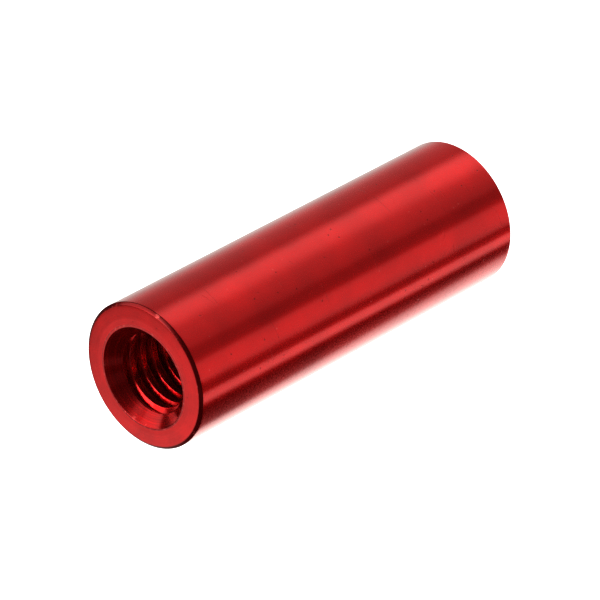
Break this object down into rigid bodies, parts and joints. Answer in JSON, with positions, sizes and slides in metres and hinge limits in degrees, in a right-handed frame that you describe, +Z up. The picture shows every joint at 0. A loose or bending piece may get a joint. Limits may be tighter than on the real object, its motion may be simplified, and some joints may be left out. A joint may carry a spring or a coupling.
{
  "type": "threaded standoff",
  "caption": "Round female-female threaded standoff: a plain turned barrel with broken edges, tapped right through and countersunk at both ends.",
  "frame": {"origin": "centre of end face A, on the barrel's axis", "axes": "+X along the axis from end A through the metal to end B, +Z up with the barrel lying on its side, +Y completes the right-handed set"},
  "size_m": [0.015, 0.005, 0.005],
  "materials": {
    "red_anodised": "red dyed anodised film over a satin turned surface"
  },
  "bodies": {
    "root": {"standoff_body": "red_anodised"}
  },
  "joints": []
}
